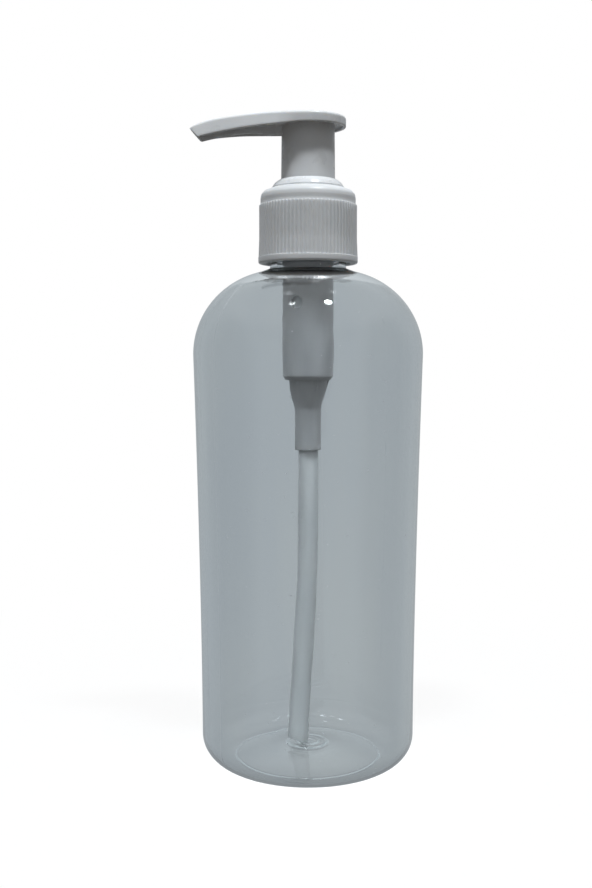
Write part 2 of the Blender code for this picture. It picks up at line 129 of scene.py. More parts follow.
def turned_grid(section, angles, change=None):
    """Points of a turned piece: the half section's radius and height, once for each angle. change takes the
    grids of radius, height and angle and gives new radii."""
    radius, angle = np.meshgrid(section[:, 0], angles, indexing="ij")
    height = np.repeat(section[:, 1:], len(angles), axis=1)
    if change:
        radius = change(radius, height, angle)
    return np.stack((radius * np.cos(angle), radius * np.sin(angle), height), axis=-1)


def shell(name, grid, wrap_rows=False, wrap_columns=True, sharp=34.0):
    """Object whose faces join the neighbours of a grid of points. Poles and seams are closed, and faces
    point outwards."""
    index = np.arange(grid.shape[0] * grid.shape[1]).reshape(grid.shape[:2])
    below = np.roll(index, -1, 0)
    faces = np.stack((index, below, np.roll(below, -1, 1), np.roll(index, -1, 1)), axis=-1)
    faces = faces[: None if wrap_rows else -1, : None if wrap_columns else -1].reshape(-1, 4)
    mesh = bpy.data.meshes.new(name)
    mesh.from_pydata((grid.reshape(-1, 3) * MM).tolist(), [], faces.tolist())
    obj = bpy.data.objects.new(name, mesh)
    bpy.context.scene.collection.objects.link(obj)
    close_up(obj, sharp)
    return obj


def close_up(obj, sharp=34.0):
    """Welds doubled points, turns all faces outwards and shades all but the sharp edges smooth."""
    shape = bmesh.new()
    shape.from_mesh(obj.data)
    bmesh.ops.remove_doubles(shape, verts=shape.verts, dist=0.0000004)
    bmesh.ops.dissolve_degenerate(shape, edges=shape.edges, dist=0.0000001)
    bmesh.ops.recalc_face_normals(shape, faces=shape.faces)
    shape.to_mesh(obj.data)
    shape.free()
    obj.data.shade_smooth()
    obj.data.set_sharp_from_angle(angle=math.radians(sharp))


def bottle_wall(z):
    """Outer radius of the body: from the heel to the shoulder it grows by the height's share to the
    power 1.6."""
    t = np.clip((z - HEEL_ROUND) / (SHOULDER_Z - HEEL_ROUND), 0, 1)
    return FOOT_R + HEEL_ROUND + (BODY_R - FOOT_R - HEEL_ROUND) * t**1.6


def bottle_arc(half_axes, start, end, count, centre=(BODY_R - DOME[0], SHOULDER_Z)):
    """Points on an upright ellipse arc between two angles in degrees. half_axes may change along the arc."""
    turn = np.radians(np.linspace(start, end, count))
    return np.column_stack((centre[0] + half_axes[0] * np.cos(turn), centre[1] + half_axes[1] * np.sin(turn)))


def bottle_base(r):
    """Height of the underside: a shallow bowl with two rings round the gate, the nub left by the runner,
    and the fine ring of the base insert beside the foot."""
    rings = 0.3 * ridge(r - 5.8, 0.5) + 0.15 * ridge(r - 3.4, 0.4) + 0.2 * ridge(r - 22.3, 0.28)
    return PUSH_UP * (1 - (r / FOOT_IN) ** 2) + rings - 0.5 * ridge(r, 1.2, 4)


def bottle_section():
    """Half section from the middle of the inner base up the inside, over the neck and down the outside,
    and the number of points on the inside."""
    base_spans = ((0, 7.5, 34), (7.9, 21.4, 20), (21.6, FOOT_IN, 9))
    base_r = np.concatenate([np.linspace(*span) for span in base_spans])
    levels = np.linspace(HEEL_ROUND, SHOULDER_Z, 27)[1:-1]
    wall = np.column_stack((bottle_wall(levels), levels))
    thick_neck = WALL + 0.5 * ramp(np.linspace(0, DOME_END, 30), 52, DOME_END)
    gate = WALL + 0.9 * ridge(base_r, 9.0)
    heel = (FOOT_R, HEEL_ROUND)
    inside = [
        np.column_stack((base_r, bottle_base(base_r) + gate)),
        bottle_arc((HEEL_ROUND - WALL,) * 2, -90, 0, 14, heel),
        wall - (WALL, 0),
        bottle_arc((DOME[0] - thick_neck, DOME[1] - thick_neck), 0, DOME_END, 30),
    ]
    dome_tip = bottle_arc(DOME, DOME_END, DOME_END, 1)[0]
    neck_in = rounded(
        [
            (*inside[-1][-1], 0),
            (NECK_BORE, 149.9, 1.6),
            (NECK_BORE, NECK_TOP, 0.3),
            (10.1, NECK_TOP, 0),
        ],
        closed=False,
    )
    neck_out = rounded(
        [
            (10.1, NECK_TOP, 0),
            (NECK_R, NECK_TOP, 0.35),
            (NECK_R, 154.3, 0.2),
            (BEAD_R, 154.1, 0.25),
            (BEAD_R, 151.95, 0.5),
            (*dome_tip, 0),
        ],
        closed=False,
    )
    outside = [
        finer(neck_out, 0.3)[1:],
        bottle_arc(DOME, DOME_END, 0, 34)[1:],
        wall[::-1],
        bottle_arc((HEEL_ROUND,) * 2, 0, -90, 18, heel),
        np.column_stack((base_r, bottle_base(base_r)))[::-1],
    ]
    inner = np.concatenate(inside + [finer(neck_in, 1.2)[1:]])
    return np.concatenate([inner] + outside), len(inner)


section, inner_rows = bottle_section()


def thread_bead(height, angle, half_width, shift=0):
    """1 along the thread's helix, fading in and out at its ends; shift raises it by turns of the pitch."""
    turns = (height - THREAD_START) / THREAD_PITCH + shift - angle / math.tau
    lap = np.clip(np.round(turns), 0, 1)
    travelled = lap + angle / math.tau
    starts = ramp(travelled, -0.5, -0.44)
    ends = ramp(travelled, THREAD_TURNS - 0.56, THREAD_TURNS - 0.5)
    return ridge((turns - lap) * THREAD_PITCH, half_width, 4) * starts * (1 - ends)


def bottle_relief(radius, height, angle):
    """Adds the thread, the fine parting lines outside, and soft upright streaks in the thickness of the
    inside."""
    outside = np.arange(len(radius))[:, None] >= inner_rows
    bead = thread_bead(height, angle, 0.62)
    on_neck = outside & (height > 156) & (height < 168) & (radius < BEAD_R)
    relief = THREAD_DEPTH * bead * on_neck
    away = (angle - PARTING + math.pi / 2) % math.pi - math.pi / 2
    on_body = outside & (radius > FOOT_R) & (height < 150)
    relief = relief + 0.04 * ridge(away * radius, 0.16) * on_body
    body = ramp(height, 6, 22) * (1 - ramp(height, 128, 148)) * ~outside
    for laps, size, phase in ((5, 0.05, 0.4), (9, 0.035, 2.1), (16, 0.02, 4.0), (29, 0.009, 1.3)):
        relief = relief + size * np.cos(laps * angle + phase + 0.8 * np.sin(height / 37 + phase)) * body
    return radius + relief


def bottle_columns():
    """Even columns, with closer ones beside both parting lines."""
    close = np.array((-0.016, -0.011, -0.0075, -0.0045, -0.002, 0, 0.002, 0.0045, 0.0075, 0.011, 0.016))
    even = np.linspace(-math.pi, math.pi, 208, endpoint=False)
    return np.unique(np.concatenate((even, PARTING + close, PARTING + math.pi + close)))


bottle = shell("pet_bottle", turned_grid(section, bottle_columns(), bottle_relief), sharp=50)


class Wire:
    """One output of a material's nodes. Arithmetic with it adds Math nodes; node adds any other node."""

    def __init__(self, tree, socket=None):
        self.tree = tree
        self.socket = socket

    def node(self, kind, settings=None, inputs=None, output=0):
        made = self.tree.nodes.new(kind)
        for key, value in (settings or {}).items():
            if key == "stops":
                while len(made.color_ramp.elements) < len(value):
                    made.color_ramp.elements.new(1.0)
                for element, (position, shade) in zip(made.color_ramp.elements, value):
                    element.position = position
                    element.color = (*shade, 1.0) if isinstance(shade, tuple) else (shade, shade, shade, 1.0)
            else:
                setattr(made, key, value)
        for key, value in (inputs or {}).items():
            if isinstance(value, Wire):
                self.tree.links.new(value.socket, made.inputs[key])
            else:
                made.inputs[key].default_value = value
        return Wire(self.tree, made.outputs[output] if made.outputs else None)

    def maths(self, operation, *values):
        return self.node("ShaderNodeMath", {"operation": operation}, dict(enumerate(values)))

    def __add__(self, other):
        return self.maths("ADD", self, other)

    def __sub__(self, other):
        return self.maths("SUBTRACT", self, other)

    def __mul__(self, other):
        return self.maths("MULTIPLY", self, other)

    def __rsub__(self, other):
        return self.maths("SUBTRACT", other, self)

    __radd__ = __add__
    __rmul__ = __mul__

    def tint(self, low, high):
        """Colour that goes from low to high as this value goes from 0 to 1."""
        colours = {0: self, 6: (*low, 1.0), 7: (*high, 1.0)}
        return self.node("ShaderNodeMix", {"data_type": "RGBA"}, colours, 2)

    def between(self, low, high):
        """0 below low, 1 above high."""
        settings = {"interpolation_type": "SMOOTHSTEP", "clamp": True}
        return self.node("ShaderNodeMapRange", settings, {0: self, 1: low, 2: high})


def grain(nodes, scale, detail=2.0, stretch=(1, 1, 1)):
    """Noise on the piece's own coordinates, with scale features to the metre, drawn out along an axis whose
    stretch is below 1."""
    place = nodes.node("ShaderNodeTexCoord", output=3)
    place = nodes.node("ShaderNodeMapping", {}, {0: place, 3: stretch})
    return nodes.node("ShaderNodeTexNoise", {}, {"Vector": place, "Scale": scale, "Detail": detail})


def finish_of(name):
    """A new material and the first Wire on its empty nodes."""
    material = bpy.data.materials.new(name)
    material.use_nodes = True
    material.node_tree.nodes.clear()
    return material, Wire(material.node_tree)


def bump(nodes, height, depth):
    """Normal that raises the surface by up to depth metres where height is 1."""
    return nodes.node("ShaderNodeBump", {}, {"Height": height, "Distance": depth, "Strength": 1.0})


def coat(nodes, settings):
    """Ends a finish that is one Principled BSDF with those settings."""
    surface = nodes.node("ShaderNodeBsdfPrincipled", {}, settings)
    nodes.node("ShaderNodeOutputMaterial", {}, {0: surface})


def clear_pet():
    """Clear PET: faint clouds and flow streaks up the wall, hair scratches and a few dust specks. Lamps shine
    through it, and light that has run along inside the wall for a while leaves it."""
    material, nodes = finish_of("clear_pet")
    cloud = grain(nodes, 24, 2, (1, 1, 0.5))
    streaks = grain(nodes, 260, 3, (1, 1, 0.06))
    specks = grain(nodes, 1500, 0).between(0.86, 0.90)
    scratches = grain(nodes, 1500, 1, (1, 0.04, 0.3)).between(0.70, 0.78)
    height = streaks * 0.8 + grain(nodes, 90, 2) * 1.2 + specks * 0.5
    mottle = (cloud * 0.8 + streaks * 0.2).between(0.3, 0.7)
    settings = {
        "Base Color": mottle.tint((0.925, 0.948, 0.966), (0.968, 0.985, 0.985)),
        "Roughness": 0.015 + scratches * 0.08 + specks * 0.3,
        "Normal": bump(nodes, height, 0.00003),
        "IOR": 1.57,
        "Transmission Weight": 1.0,
    }
    plastic = nodes.node("ShaderNodeBsdfPrincipled", {}, settings)
    straight = nodes.node("ShaderNodeBsdfTransparent", {}, {"Color": (0.93, 0.95, 0.955, 1.0)})
    shadow_ray = nodes.node("ShaderNodeLightPath", output=1)
    trapped = nodes.node("ShaderNodeLightPath", output="Glossy Depth").between(2, 3)
    passes = nodes.maths("MAXIMUM", shadow_ray, trapped)
    both = nodes.node("ShaderNodeMixShader", {}, {0: passes, 1: plastic, 2: straight})
    nodes.node("ShaderNodeOutputMaterial", {}, {0: both})
    return material


bottle.data.materials.append(clear_pet())
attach(bottle, "bottle_body")
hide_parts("bottle")

# ---------------------------------------------------------------------------------------------------
# Neck gasket. A washer punched from white closed-cell foam; the closure squeezes it between the neck's
# rim and the housing's flange.

GASKET_LOW, GASKET_HIGH = (corner.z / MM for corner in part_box("neck_gasket"))
GASKET_R = (9.4, 11.8)


def even(count):
    """Angles of count even columns."""
    return np.linspace(-math.pi, math.pi, count, endpoint=False)


def turned(name, corners, columns, step=1.5, change=None, sharp=34.0):
    """Turned piece from the rounded corners of its half section. A section that starts and ends on the axis
    makes a full body, and any other closes on itself as a ring."""
    ring = not corners[0][0] == corners[-1][0] == 0
    section = finer(rounded(corners, ring), step, ring)
    return shell(name, turned_grid(section, even(columns), change), wrap_rows=ring, sharp=sharp)


gasket = turned(
    "foam_gasket",
    [
        (GASKET_R[0], GASKET_LOW, 0.2),
        (GASKET_R[0], GASKET_HIGH, 0.2),
        (GASKET_R[1], GASKET_HIGH, 0.3),
        (GASKET_R[1], GASKET_LOW, 0.3),
    ],
    96,
    0.4,
    lambda radius, height, angle: radius + 0.03 * np.sin(23 * angle) * np.cos(5 * angle),
)


def white_foam():
    """Closed-cell foam: fine open cells at its cut faces."""
    material, nodes = finish_of("white_foam")
    cells = grain(nodes, 5200, 3)
    settings = {
        "Base Color": cells.between(0.35, 0.65).tint((0.62, 0.62, 0.60), (0.80, 0.80, 0.78)),
        "Roughness": 0.9 - cells * 0.15,
        "Normal": bump(nodes, cells, 0.00008),
    }
    coat(nodes, settings)
    return material


gasket.data.materials.append(white_foam())
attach(gasket, "gasket")
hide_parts("neck_gasket")

# ---------------------------------------------------------------------------------------------------
# Pump housing. One moulding in natural polypropylene: a flange that hangs on the neck, a cup, the barrel in
# which the piston runs, a throat with five gussets and the socket of the dip tube. Two vents let air in.

BARREL_R = 7.9
BARREL_BORE = 6.9
BARREL_FOOT = 119.4
SOCKET_R = 4.05
SOCKET_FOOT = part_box("pump_housing")[0].z / MM
TUBE_R = 3.2
VENT_R = 1.9
VENT_Z = 141.7
VENTS = (math.radians(-118), math.radians(44))
GUSSET_Z = (113.6, 118.4)
GUSSETS = 5
FIRST_GUSSET = math.radians(-65)

HOUSING = [
    (8.6, 176.3, 0.15),
    (9.1, 176.3, 0.15),
    (9.1, 173.1, 0.2),
    (11.8, 173.1, 0.2),
    (11.8, 172.05, 0.2),
    (9.15, 172.05, 0.15),
    (9.15, 159.4, 0.5),
    (BARREL_R - 0.1, 157.9, 0.6),
    (BARREL_R - 0.15, 143.0, 4.0),
    (BARREL_R + 0.1, 129.0, 6.0),
    (BARREL_R - 0.1, BARREL_FOOT, 0.35),
    (7.0, BARREL_FOOT - 1.1, 0.3),
    (5.95, BARREL_FOOT - 1.2, 0.3),
    (5.6, 115.2, 4.0),
    (4.2, 109.4, 3.5),
    (SOCKET_R, 105.0, 2.0),
    (SOCKET_R, SOCKET_FOOT, 0.2),
    (TUBE_R + 0.3, SOCKET_FOOT, 0.2),
    (TUBE_R + 0.1, 107.6, 0.2),
    (1.3, 107.6, 0.1),
    (1.3, 108.6, 0.2),
    (3.0, 111.0, 0.5),
    (3.4, 113.7, 0.1),
    (4.3, 113.7, 0.2),
    (4.95, 119.4, 1.0),
    (BARREL_BORE, 120.6, 0.5),
    (BARREL_BORE, 159.0, 0.2),
    (7.4, 160.0, 0.2),
    (8.45, 160.0, 0.2),
    (8.45, 171.0, 0.5),
]


def gusset_relief(radius, height, angle):
    """Five thin webs stand out of the throat; their outer edge runs from just inside the barrel's foot down
    to the throat's own surface."""
    low, high = GUSSET_Z
    edge = 5.2 + 1.6 * (height - low) / (high - low)
    spacing = math.tau / GUSSETS
    away = (angle - FIRST_GUSSET + spacing / 2) % spacing - spacing / 2
    outside = (radius > 4.8) & (height > low) & (height < high - 0.15) & (radius < 6.6)
    return radius + np.maximum(edge - radius, 0) * ridge(away * radius, 0.42, 4) * outside


def cut(obj, tool, operation="DIFFERENCE"):
    """Applies a Boolean between two finished solids and removes the tool."""
    modifier = obj.modifiers.new("cut", "BOOLEAN")
    modifier.object = tool
    modifier.operation = operation
    modifier.solver = "EXACT"
    graph = bpy.context.evaluated_depsgraph_get()
    mesh = bpy.data.meshes.new_from_object(obj.evaluated_get(graph))
    obj.modifiers.clear()
    obj.data = mesh
    bpy.data.objects.remove(tool)


def vent_drill(angle):
    """Drill across the barrel's wall at an angle about the axis: straight, then flared at the outer face."""
    inner, outer = BARREL_BORE - 2.5, BARREL_R + 2
    reach = np.array((inner, inner, BARREL_R - 0.35, BARREL_R + 0.25, outer, outer))
    width = np.array((0, VENT_R, VENT_R, VENT_R + 0.35, VENT_R + 0.6, 0))
    turn = even(40)
    along = np.repeat(reach[:, None], len(turn), axis=1)
    side, up = width[:, None] * np.cos(turn), width[:, None] * np.sin(turn)
    x = along * math.cos(angle) - side * math.sin(angle)
    y = along * math.sin(angle) + side * math.cos(angle)
    return shell("vent_drill", np.stack((x, y, VENT_Z + up), axis=-1))


housing = turned("natural_housing", HOUSING, 160, 0.7, gusset_relief)
for vent in VENTS:
    cut(housing, vent_drill(vent))
close_up(housing)


def natural_plastic(name, low, high, see_through, roughness):
    """Unpigmented plastic, cloudy to the light: faint flow lines down the draw and a fine tool texture."""
    material, nodes = finish_of(name)
    cloud = grain(nodes, 160, 3, (1, 1, 0.35))
    fine = grain(nodes, 2600, 2)
    settings = {
        "Base Color": cloud.between(0.3, 0.7).tint(low, high),
        "Roughness": roughness + cloud * 0.1,
        "Normal": bump(nodes, fine, 0.00002),
        "IOR": 1.49,
        "Transmission Weight": see_through,
    }
    coat(nodes, settings)
    return material


natural_pp = natural_plastic("natural_pp", (0.33, 0.337, 0.345), (0.40, 0.408, 0.415), 0.05, 0.3)
housing.data.materials.append(natural_pp)
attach(housing, "pump_core")
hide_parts("pump_housing")

# ---------------------------------------------------------------------------------------------------
# Inlet ball. A ground glass ball, loose in the housing's seat: it lifts to let soap in and drops to hold it.

BALL_LOW, BALL_HIGH = (corner.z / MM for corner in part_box("inlet_ball"))
BALL_R = (BALL_HIGH - BALL_LOW) / 2

arc = np.radians(np.linspace(-90, 90, 33))
half_circle = np.column_stack((BALL_R * np.cos(arc), (BALL_LOW + BALL_HIGH) / 2 + BALL_R * np.sin(arc)))
half_circle[[0, -1], 0] = 0
ball = shell("glass_ball", turned_grid(half_circle, even(48)))


def ground_glass():
    """Soda glass with the faint marks of grinding."""
    material, nodes = finish_of("ground_glass")
    marks = grain(nodes, 3000, 2)
    settings = {
        "Base Color": marks.tint((0.80, 0.88, 0.87), (0.86, 0.92, 0.91)),
        "Roughness": 0.04 + marks.between(0.55, 0.75) * 0.2,
        "IOR": 1.52,
        "Transmission Weight": 0.85,
    }
    coat(nodes, settings)
    return material


ball.data.materials.append(ground_glass())
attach(ball, "ball")
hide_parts("inlet_ball")

# ---------------------------------------------------------------------------------------------------
# Ball retainer. A small natural polypropylene disc snapped in over the ball: it caps the ball's lift, carries
# the spring, and lets the soap up through three holes round its middle one.

RETAINER_Z = (114.0, 115.1)
RETAINER_HOLE_R = 0.7
RETAINER_HOLE_PITCH_R = 2.5

retainer = turned(
    "retainer_disc",
    [
        (0.9, RETAINER_Z[0], 0.15),
        (0.9, RETAINER_Z[1], 0.15),
        (4.0, RETAINER_Z[1], 0.15),
        (4.0, RETAINER_Z[0], 0.25),
    ],
    72,
    0.5,
)
for turn in even(3):
    middle = RETAINER_HOLE_PITCH_R * np.array((math.cos(turn), math.sin(turn), 0))
    rod = np.array(((0, 113.0), (RETAINER_HOLE_R, 113.0), (RETAINER_HOLE_R, 116.0), (0, 116.0)))
    cut(retainer, shell("hole_drill", turned_grid(rod, even(24)) + middle))
close_up(retainer)
retainer.data.materials.append(natural_pp)
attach(retainer, "pump_core")
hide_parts("ball_retainer")

# ---------------------------------------------------------------------------------------------------
# Return spring. Stainless wire, wound open with a closed turn at each end; it stands on the retainer and
# pushes the stem back up.

SPRING_Z = (115.4, 138.0)
SPRING_R = 3.4
WIRE_R = 0.38
COILS = 7
CLOSED_RISE = 2.2 * WIRE_R  # rise of the closed turn at each end


def carried(path, out, radius, count):
    """Points of a round bar: circles of the given radii about a path. out is each circle's first direction,
    square to the path; the second is square to both."""
    along = np.gradient(path, axis=0)
    along /= np.linalg.norm(along, axis=1, keepdims=True)
    second = np.cross(along, out)
    turn = even(count)
    radius = np.broadcast_to(radius, (len(path),))
    across = out[:, None] * np.cos(turn)[:, None] + second[:, None] * np.sin(turn)[:, None]
    return path[:, None] + radius[:, None, None] * across


def spring_path(steps_in_turn):
    """Helix of the wire's middle. Its height climbs slowly in the first and last turn and evenly between."""
    turn = np.linspace(0, COILS, COILS * steps_in_turn + 1)
    low, high = SPRING_Z[0] + WIRE_R, SPRING_Z[1] - WIRE_R
    height = np.interp(turn, (0, 1, COILS - 1, COILS), (low, low + CLOSED_RISE, high - CLOSED_RISE, high))
    out = np.column_stack((np.cos(math.tau * turn), np.sin(math.tau * turn), 0 * turn))
    return SPRING_R * out + height[:, None] * (0, 0, 1), out


path, out = spring_path(36)
thickness = np.full(len(path), WIRE_R)
path, out = path[[0, *range(len(path)), -1]], out[[0, *range(len(out)), -1]]
thickness = np.concatenate(([0], thickness, [0]))
path[0] -= (path[2] - path[1]) * 0.01
path[-1] += (path[-2] - path[-3]) * 0.01
spring = shell("return_spring", carried(path, out, thickness, 14))


def bright_wire():
    """Drawn stainless wire: long fine die lines and a slightly warm sheen."""
    material, nodes = finish_of("bright_wire")
    lines = grain(nodes, 2400, 3, (1, 1, 0.2))
    settings = {
        "Base Color": lines.tint((0.50, 0.50, 0.49), (0.68, 0.67, 0.65)),
        "Roughness": 0.22 + lines * 0.15,
        "Metallic": 1.0,
        "Normal": bump(nodes, lines, 0.00001),
    }
    coat(nodes, settings)
    return material


spring.data.materials.append(bright_wire())
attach(spring, "pump_core")
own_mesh(spring)
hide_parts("spring")

# ---------------------------------------------------------------------------------------------------
# Stem plug. Pressed up into the stem's foot; its flange pushes the piston and rests on the spring, and the
# four flutes of its shank let the soap into the stem.

PLUG_FLANGE = (138.3, 139.5)
PLUG_SHANK_R = 2.6


def flute_relief(radius, height, angle):
    """Four round flutes sink into the shank above the flange; one is 0.75 deep at its middle."""
    away = (angle + math.pi / 4) % (math.pi / 2) - math.pi / 4
    above_flange = ramp(height, PLUG_FLANGE[1] + 0.5, PLUG_FLANGE[1] + 1.5)
    deep = 0.75 * ridge(away * PLUG_SHANK_R, 0.85, 3) * above_flange
    return radius - deep * np.minimum(radius / PLUG_SHANK_R, 1)


plug = turned(
    "plunger_plug",
    [
        (0, 157.0, 0),
        (1.8, 157.0, 0.2),
        (PLUG_SHANK_R, 156.0, 0.3),
        (PLUG_SHANK_R, PLUG_FLANGE[1], 0.25),
        (5.4, PLUG_FLANGE[1], 0.15),
        (5.4, PLUG_FLANGE[0], 0.2),
        (PLUG_SHANK_R, PLUG_FLANGE[0], 0.2),
        (PLUG_SHANK_R, 135.6, 0.2),
        (2.0, 135.0, 0.2),
        (0, 135.0, 0),
    ],
    96,
    0.6,
    flute_relief,
)
plug.data.materials.append(natural_pp)
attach(plug, "plunger")
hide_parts("stem_plug")

# ---------------------------------------------------------------------------------------------------
# Piston. Soft polyethylene sleeve with a sealing lip up and one down, loose by a little over a millimetre
# between the plug's flange and the stem's foot, where it opens and shuts the way into the stem.

LIP_R = BARREL_BORE - 0.1
PISTON_BORE = 3.1

piston = turned(
    "sliding_piston",
    [
        (PISTON_BORE, 148.3, 0.15),
        (4.0, 148.3, 0.2),
        (4.0, 144.4, 0.3),
        (5.8, 144.4, 0.3),
        (5.95, 147.6, 0.1),
        (LIP_R, 147.6, 0.08),
        (LIP_R, 147.1, 0.15),
        (6.3, 146.0, 0.5),
        (6.3, 140.4, 0.5),
        (LIP_R, 139.3, 0.15),
        (LIP_R, 138.8, 0.08),
        (5.95, 138.8, 0.1),
        (5.8, 143.0, 0.3),
        (4.0, 143.0, 0.3),
        (4.0, 140.4, 0.2),
        (3.6, 139.75, 0.1),
        (PISTON_BORE, 139.75, 0.15),
    ],
    112,
    0.5,
)
milky_pe = natural_plastic("milky_pe", (0.70, 0.75, 0.77), (0.78, 0.82, 0.84), 0.4, 0.35)
piston.data.materials.append(milky_pe)
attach(piston, "piston_ring")
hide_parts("piston")

# ---------------------------------------------------------------------------------------------------
# Stem guide. Natural polypropylene sleeve on a web that snaps into the housing's cup; the stem slides in it
# and its foot stops against the sleeve's lower end.

STEM_R = 4.0
GUIDE_BORE = STEM_R + 0.25
GUIDE_R = 5.2
GUIDE_WEB = (160.3, 161.5)

guide = turned(
    "stem_bush",
    [
        (GUIDE_BORE, 170.0, 0.2),
        (GUIDE_R, 170.0, 0.2),
        (GUIDE_R, GUIDE_WEB[1], 0.4),
        (8.15, GUIDE_WEB[1], 0.15),
        (8.15, GUIDE_WEB[0], 0.25),
        (GUIDE_R, GUIDE_WEB[0], 0.4),
        (GUIDE_R, 151.7, 0.2),
        (GUIDE_BORE, 151.7, 0.2),
    ],
    96,
    0.8,
)
guide.data.materials.append(natural_pp)
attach(guide, "pump_core")
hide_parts("stem_guide")

# ---------------------------------------------------------------------------------------------------
# Stem. Natural polypropylene tube, pressed into the head at the top; the collar at its foot stops it in the
# guide and takes the plug.

STEM_FOOT, STEM_TOP = (corner.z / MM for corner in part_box("stem"))
STEM_BORE = 2.9

stem = turned(
    "plunger_stem",
    [
        (STEM_BORE, STEM_TOP, 0.15),
        (STEM_R - 0.3, STEM_TOP, 0.1),
        (STEM_R, STEM_TOP - 0.6, 0.3),
        (STEM_R, STEM_FOOT + 1.8, 0.2),
        (5.0, STEM_FOOT + 1.8, 0.2),
        (5.0, STEM_FOOT, 0.3),
        (STEM_BORE, STEM_FOOT, 0.2),
    ],
    96,
    1.5,
)
stem.data.materials.append(natural_pp)
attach(stem, "head")
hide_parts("stem")

# ---------------------------------------------------------------------------------------------------
# Dip tube. Extruded milky polyethylene, pushed up into the housing's socket. It keeps a slight bend from the
# coil it was cut from, and its foot is cut on a slant so that it can't seal itself on the bottle's base.

TUBE_BORE = 2.4
TUBE_LEAN = math.radians(223)  # direction in which the foot leans
TUBE_TOP = 107.2
TUBE_FOOT = 4.8
# (height, offset) of the bend
TUBE_BEND = ((4.8, 4.1), (20, 3.0), (35, 1.8), (50, 0.8), (66, 0.15), (80, 0), (96, 0), (107.2, 0))
SLANT = 0.35  # rise of the cut foot for each millimetre across


def smooth_through(points, at):
    """Curve through (position, value) points: between two of them it is the cubic that keeps the slope of the
    chord between their neighbours."""
    x, y = np.array(points, float).T
    slope = np.empty_like(y)
    slope[1:-1] = (y[2:] - y[:-2]) / (x[2:] - x[:-2])
    slope[0] = (y[1] - y[0]) / (x[1] - x[0])
    slope[-1] = (y[-1] - y[-2]) / (x[-1] - x[-2])
    k = np.clip(np.searchsorted(x, at) - 1, 0, len(x) - 2)
    span = x[k + 1] - x[k]
    t = (at - x[k]) / span
    hold = (2 * t**3 - 3 * t**2 + 1) * y[k] + (3 * t**2 - 2 * t**3) * y[k + 1]
    return hold + span * ((t**3 - 2 * t**2 + t) * slope[k] + (t**3 - t**2) * slope[k + 1])


def tube_surface():
    """The outer wall down the bent path and the inner wall back up it, joined by rounded rims. Near the
    foot the circles tip over to the slant of the cut."""
    height = np.linspace(TUBE_TOP, TUBE_FOOT, 70)
    aside = smooth_through(TUBE_BEND, height)
    lean = np.array((math.cos(TUBE_LEAN), math.sin(TUBE_LEAN), 0))
    path = aside[:, None] * lean + height[:, None] * (0, 0, 1)
    out = np.broadcast_to(np.array((-lean[1], lean[0], 0)), path.shape)
    wall = TUBE_R - TUBE_BORE
    outer = np.full(len(path), TUBE_R)
    inner = np.full(len(path), TUBE_BORE)
    outer[[0, -1]] -= 0.2 * wall
    inner[[0, -1]] += 0.2 * wall
    grid = np.concatenate((carried(path, out, outer, 56), carried(path, out, inner, 56)[::-1]))
    near_foot = 1 - ramp(grid[..., 2], TUBE_FOOT + 1, TUBE_FOOT + 16)
    across = (grid - path[-1]) @ lean
    grid[..., 2] += SLANT * (across + TUBE_R) * near_foot
    return grid


tube = shell("suction_tube", tube_surface(), wrap_rows=True)
tube_pe = natural_plastic("tube_pe", (0.84, 0.88, 0.90), (0.90, 0.93, 0.94), 0.3, 0.3)
tube.data.materials.append(tube_pe)
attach(tube, "pump_core")
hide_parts("dip_tube")

# ---------------------------------------------------------------------------------------------------
# Chaplet. White polypropylene ring snapped over the housing's collar: it clamps the closure between itself
# and the flange, and guides the head's skirt.

CHAPLET_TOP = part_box("chaplet")[1].z / MM
CHAPLET_BORE = 8.45

chaplet = turned(
    "white_chaplet",
    [
        (CHAPLET_BORE, CHAPLET_TOP, 0.15),
        (9.0, 178.25, 0.8),
        (10.15, 177.4, 1.0),
        (10.9, 176.3, 0.5),
        (10.9, 175.97, 0.1),
        (9.95, 175.97, 0.1),
        (9.95, 174.2, 0.2),
        (9.4, 174.2, 0.2),
        (9.4, 176.6, 0.2),
        (CHAPLET_BORE, 176.6, 0.15),
    ],
    180,
    0.4,
)


def white_plastic(name, low, high, roughness):
    """White polypropylene, moulded glossy: light seeps a millimetre into it; it has cloudy flow marks, a fine
    orange peel and sparse scuffs that catch the light."""
    material, nodes = finish_of(name)
    flow = grain(nodes, 120, 3)
    peel = grain(nodes, 1400, 2)
    scuffs = grain(nodes, 2200, 1, (1, 0.12, 0.4)).between(0.68, 0.76)
    settings = {
        "Base Color": flow.between(0.3, 0.7).tint(low, high),
        "Roughness": roughness + flow * 0.08 + scuffs * 0.2,
        "Normal": bump(nodes, peel + flow * 2, 0.000012),
        "IOR": 1.49,
        "Subsurface Weight": 0.35,
        "Subsurface Radius": (1.0, 0.9, 0.8),
        "Subsurface Scale": 0.0013,
    }
    coat(nodes, settings)
    return material


white_pp = white_plastic("white_pp", (0.80, 0.815, 0.825), (0.84, 0.85, 0.86), 0.24)
chaplet.data.materials.append(white_pp)
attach(chaplet, "pump_core")
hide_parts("chaplet")

# ---------------------------------------------------------------------------------------------------
# Closure. White polypropylene screw cap, open in the middle: 78 grip ribs between a plain band and a rounded
# tier, and a thread inside that runs in the bottle's.

RIM_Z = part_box("closure_cap")[0].z / MM
DECK_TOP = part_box("closure_cap")[1].z / MM
RIB_COUNT = 78
RIB_Z = (155.5, 171.0)
RIB_R = (15.05, 14.82)  # crests at the foot and over the upper two thirds
RIB_DEPTH = 0.3
BAND_R = 15.1
TIER_R = 14.4
CAP_BORE = 12.5
CAP_HOLE_R = 10.25
DECK_Z = 173.4

